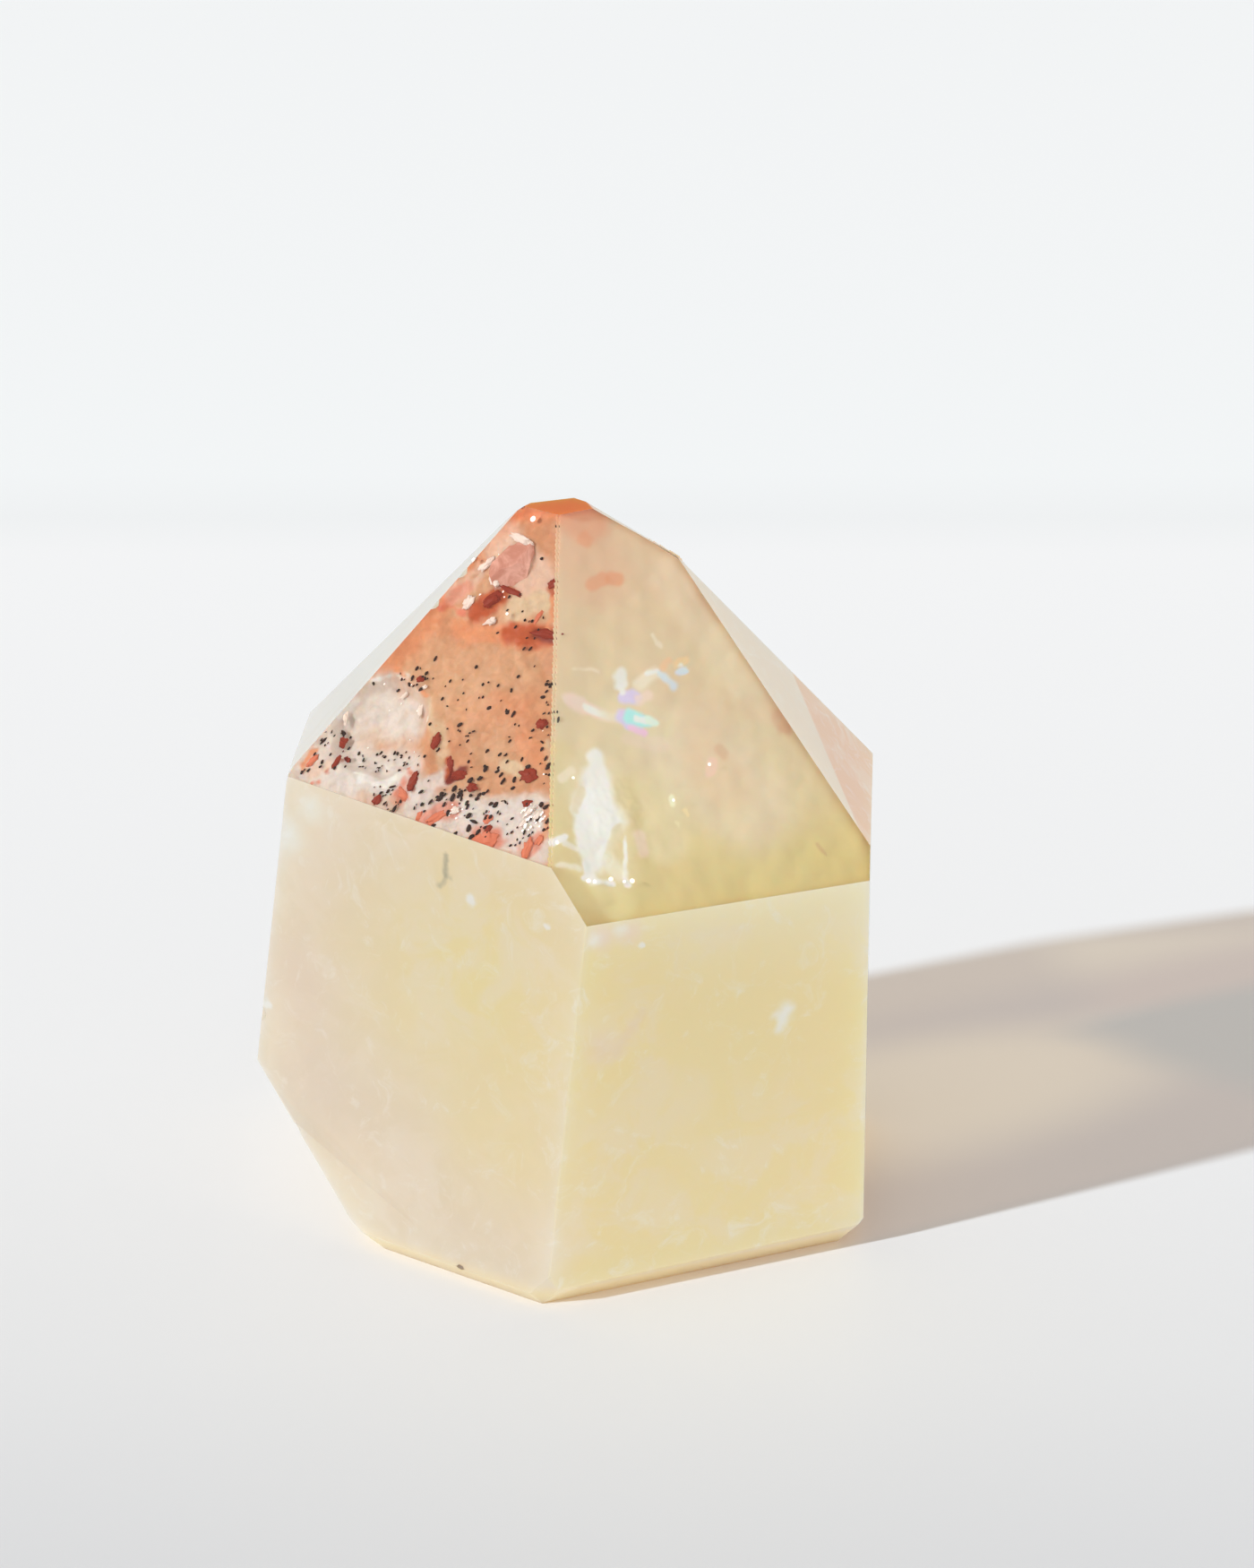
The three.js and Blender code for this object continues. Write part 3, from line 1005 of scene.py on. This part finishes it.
# Specks that stand out: their pixel, their length and width in mm and their tilt in degrees.
SPECKS = [
    (486, 735, 0.55, 0.25, 60), (539, 764, 0.35, 0.25, 60), (556, 765, 0.35, 0.22, 50), (539, 778, 0.3, 0.2, 60),
    (546, 790, 0.5, 0.35, 20), (565, 793, 0.4, 0.2, 70), (573, 797, 0.7, 0.3, 62), (513, 809, 0.6, 0.32, 30),
    (480, 808, 0.35, 0.25, 50), (522, 827, 0.4, 0.2, 50), (569, 827, 0.4, 0.2, 50), (544, 838, 0.5, 0.25, 45),
    (558, 842, 0.45, 0.25, 45), (566, 850, 0.4, 0.2, 50), (556, 857, 0.35, 0.2, 50), (560, 864, 0.45, 0.28, 55),
    (523, 850, 0.35, 0.25, 60), (541, 855, 0.3, 0.3, 50), (606, 778, 0.5, 0.32, 20), (618, 795, 0.4, 0.28, 60),
    (620, 803, 0.6, 0.25, 80), (605, 828, 0.4, 0.2, -40), (474, 844, 0.35, 0.25, 50), (519, 882, 0.3, 0.2, 50),
    (544, 883, 0.4, 0.2, 50), (521, 896, 0.55, 0.3, 60), (521, 902, 0.3, 0.2, 60), (564, 895, 0.4, 0.2, -50),
    (586, 692, 0.3, 0.25, 40), (594, 693, 0.32, 0.25, 40), (585, 724, 0.45, 0.2, 50), (592, 724, 0.5, 0.22, 50),
    (622, 589, 0.75, 0.32, 110), (470, 769, 0.55, 0.32, 40), (438, 878, 0.7, 0.22, 15), (457, 764, 0.5, 0.3, 120),
    (383, 818, 0.75, 0.45, 150), (361, 827, 0.9, 0.25, 45), (337, 862, 0.4, 0.3, 60), (330, 871, 0.3, 0.25, 0),
    (446, 860, 0.35, 0.3, 0), (421, 842, 0.3, 0.22, 50), (493, 889, 0.6, 0.3, 30), (505, 890, 0.8, 0.4, 70),
    (512, 888, 0.6, 0.3, 60), (529, 917, 0.8, 0.3, -20), (526, 934, 0.7, 0.35, 40), (440, 903, 0.7, 0.3, 60),
    (604, 898, 0.5, 0.4, 60), (548, 897, 0.5, 0.3, 30), (535, 887, 0.5, 0.3, 40), (417, 763, 0.4, 0.25, 110),
]
SPECK_LIFT = 0.12


def scatter(fields, seed, name, sheet, lift, tilt, spread, flat):
    """Copies of a seed at random pixels of each field, where the sheet lies below them."""
    grains = []
    for px, py, across, down, count, smallest, largest in fields.values():
        for _ in range(count):
            x = px + across * rng.uniform(-1, 1)
            y = py + down * rng.uniform(-1, 1)
            length = smallest + (largest - smallest) * rng.random() ** 2
            place = above(sheet, name, x, y, lift)
            if place and is_inside(place, 0.3):
                size = (length, length * rng.uniform(0.4, 0.75), length * flat)
                grains.append(laid(seed, name, place, size, tilt + rng.gauss(0, spread), 0.35, 25))
    return grains


specks = scatter(SPECK_FIELDS, small_seed, "window", veil, SPECK_LIFT, 62, 22, 0.35)
for px, py, length, width, tilt in SPECKS:
    place = above(veil, "window", px, py, SPECK_LIFT)
    if place:
        specks.append(laid(small_seed, "window", place, (length, width, 0.16), tilt + 12, 0.3, 15))
speck_piece = join(specks, "hematite_specks")
finish_piece(speck_piece, plain_material("hematite", (0.035, 0.014, 0.010), 0.3), inner_group)

# %% Red lumps
# Lumps on the veil: the pixel, length, width and thickness in mm, and the tilt in degrees.
RED_LUMPS = {
    "dark smear": (549, 669, 1.9, 1.0, 0.3, 40),
    "under the pink lump": (570, 659, 2.4, 0.5, 0.3, -12),
    "end of the band": (609, 708, 2.3, 0.8, 0.3, 4),
    "ridge lump": (617, 651, 0.95, 0.7, 0.35, 50),
    "at the top of the patch": (470, 758, 0.85, 0.55, 0.3, 20),
    "brown lump": (487, 826, 1.45, 0.8, 0.4, 85),
    "hook": (503, 852, 1.5, 0.6, 0.35, -75),
    "hook foot": (513, 865, 1.5, 0.85, 0.4, 15),
    "beside the hook": (527, 879, 0.95, 0.75, 0.35, 20),
    "ridge cluster": (604, 808, 1.1, 0.85, 0.4, 30),
    "ring": (590, 865, 1.6, 1.1, 0.35, 10),
    "below the ring": (588, 896, 0.95, 0.6, 0.3, 15),
    "red triangle": (461, 872, 1.8, 0.8, 0.35, 85),
    "left of the patch": (381, 829, 1.2, 0.9, 0.35, 30),
    "corner lump": (376, 850, 1.3, 0.5, 0.3, 70),
    "corner lump right": (387, 848, 0.7, 0.55, 0.3, 30),
    "low left": (421, 893, 0.95, 0.75, 0.3, 60),
    "red in the coral": (545, 925, 0.75, 0.5, 0.3, 60),
}
CORAL_LUMPS = {
    "heart": (541, 936, 2.5, 1.7, 0.35, 20),
    "heart top": (545, 913, 1.1, 0.8, 0.3, 70),
    "tail of the triangle": (450, 886, 1.7, 0.75, 0.3, -30),
    "lower streak": (487, 913, 2.2, 0.8, 0.3, 40),
    "lower left": (468, 911, 0.9, 0.55, 0.3, 80),
    "corner": (588, 947, 1.9, 0.75, 0.3, 85),
    "corner right": (602, 938, 1.2, 0.6, 0.3, 70),
    "left ring": (349, 849, 1.4, 0.5, 0.3, 60),
    "band fringe": (600, 690, 1.6, 0.45, 0.25, 70),
}


def lumps(table, name, sheet, lift, rough):
    made = []
    for px, py, length, width, thickness, tilt in table.values():
        place = above(sheet, name, px, py, lift)
        if place:
            made.append(laid(large_seed, name, place, (length, width, thickness), tilt, rough))
    return made


red_piece = join(lumps(RED_LUMPS, "window", veil, 0.05, 0.5), "iron_oxide_lumps")
finish_piece(red_piece, plain_material("red_iron_oxide", (0.30, 0.035, 0.014), 0.35), inner_group)
coral_piece = join(lumps(CORAL_LUMPS, "window", veil, 0.0, 0.5), "coral_lumps")
finish_piece(coral_piece, plain_material("coral_iron_oxide", (0.76, 0.23, 0.13), 0.4), inner_group)

# %% [markdown]
# ## The pink lump and white shards
# Near the tip sits a small crystal of its own, pale pink with flat faces, and thin white shards
# lean against it. It is made from the lump seed by cutting it flat on several sides.

# %% The pink lump
LUMP_PIXEL = (571, 633)
LUMP_SIZE = (4.2, 6.6, 1.3)
# Cuts on the pink lump: how far from its middle in mm, the turn in the picture plane, and the rise.
LUMP_CUTS = [
    (1.75, 0, 0), (2.1, 215, 10), (2.35, 265, 0), (2.8, 75, 0),
    (0.55, 300, 62), (0.52, 130, 74), (1.7, 150, 5),
]


def pink_lump_shape():
    place = above(veil, "window", *LUMP_PIXEL, 0.15)
    lump = laid(large_seed, "window", place, LUMP_SIZE, 0, 0.0)
    lump.name = "pink_lump"
    lump.data.name = "pink_lump"
    turn = facet_turn("window")
    edit(lump)
    for reach, spin, rise in LUMP_CUTS:
        spin, rise = math.radians(spin), math.radians(rise)
        way = turn @ Vector((math.cos(rise) * math.cos(spin), math.cos(rise) * math.sin(spin), math.sin(rise)))
        bpy.ops.mesh.select_all(action="SELECT")
        cut = {"plane_co": place + way * reach * MM, "plane_no": way, "clear_outer": True, "use_fill": True}
        bpy.ops.mesh.bisect(**cut)
    done()
    smooth(lump, 20)
    return lump


def pink_material():
    """Pink quartz with paler and browner clouds."""
    material, tree, shader = new_material("pink_quartz")
    clouds = ramp(tree, cloud(tree, object_place(tree), 2.2, 4, 0.65, 0.8), 0.35, 0.65)
    tree.links.new(blend(tree, clouds, (0.60, 0.28, 0.21), (0.82, 0.49, 0.41)), shader.inputs["Base Color"])
    shader.inputs["Roughness"].default_value = 0.25
    shader.inputs["Specular IOR Level"].default_value = INNER_SHINE
    return material


finish_piece(pink_lump_shape(), pink_material(), inner_group)

# %% White shards and painted glints
WHITE_SHARDS = {
    "bar by the tip": (581, 601, 2.4, 0.6, 0.2, -10),
    "rag left of the lump": (543, 630, 1.5, 0.6, 0.2, 55),
    "rag below it": (551, 648, 1.3, 0.6, 0.2, -40),
    "low rag": (523, 672, 1.2, 0.7, 0.2, 70),
    "pale foot": (547, 694, 1.0, 0.55, 0.2, 30),
    "edge rag": (529, 624, 0.6, 0.3, 0.2, 60),
    "patch corner": (474, 767, 0.5, 0.3, 0.2, 50),
    "patch right": (469, 793, 1.1, 0.4, 0.2, 100),
    "patch top": (452, 776, 0.8, 0.4, 0.2, 60),
    "patch left": (386, 800, 1.2, 0.4, 0.2, 100),
    "low middle": (508, 905, 0.8, 0.5, 0.2, 50),
    "low stripe": (590, 906, 1.1, 0.35, 0.2, 60),
    "low stripe right": (600, 910, 1.0, 0.35, 0.2, 60),
    "low stripe left": (584, 918, 0.9, 0.3, 0.2, 60),
}
# Fields of painted glints: the middle pixel, the reach across and down in pixels, how many, and their sizes in
# mm.
GLOWING_GLINT_FIELDS = {
    "low right": (594, 912, 13, 16, 26, 0.18, 0.42),
    "low middle": (508, 906, 9, 9, 7, 0.16, 0.30),
    "clear patch": (440, 800, 30, 40, 8, 0.12, 0.24),
    "by the lump": (552, 645, 22, 30, 8, 0.14, 0.28),
    "along the ridge": (611, 870, 8, 60, 12, 0.14, 0.28),
}
# Glowing beads, painted highlights: the facet, the pixel, the depth in mm under the facet and the size in mm.
GLOWING_BEADS = [
    ("window", 595, 579, 0.35, 0.55),
    ("window", 528, 624, 0.4, 0.35),
    ("window", 566, 685, 0.4, 0.28),
    (CRACK_NAME, 657, 983, 0.45, 0.42),
    (CRACK_NAME, 664, 984, 0.45, 0.34),
    (CRACK_NAME, 682, 981, 0.45, 0.40),
    (CRACK_NAME, 697, 984, 0.45, 0.30),
    (CRACK_NAME, 706, 983, 0.45, 0.44),
    (CRACK_NAME, 640, 868, 0.45, 0.26),
    (CRACK_NAME, 792, 853, 0.4, 0.30),
    (CRACK_NAME, 752, 893, 0.4, 0.26),
    (CRACK_NAME, 622, 940, 0.5, 0.34),
]
shard_piece = join(lumps(WHITE_SHARDS, "window", veil, 0.22, 0.8), "white_shards")
finish_piece(shard_piece, plain_material("white_quartz", (0.95, 0.86, 0.80), 0.25), inner_group)
# Painted highlights: white flakes and beads that glow a little, standing in for glints of sunlight.
glowing_glints = scatter(GLOWING_GLINT_FIELDS, small_seed, "window", veil, 0.25, 62, 15, 0.3)
for name, px, py, depth, size in GLOWING_BEADS:
    glowing_glints.append(laid(small_seed, name, under(name, px, py, depth), (size, size, size * 0.4), 0, 0.2))
glowing_glint_piece = join(glowing_glints, "glowing_glints")
finish_piece(glowing_glint_piece, plain_material("glowing_glint", (1.0, 0.98, 0.95), 0.2, 0.6), inner_group)
for seed in (small_seed, large_seed):
    bpy.data.objects.remove(seed)
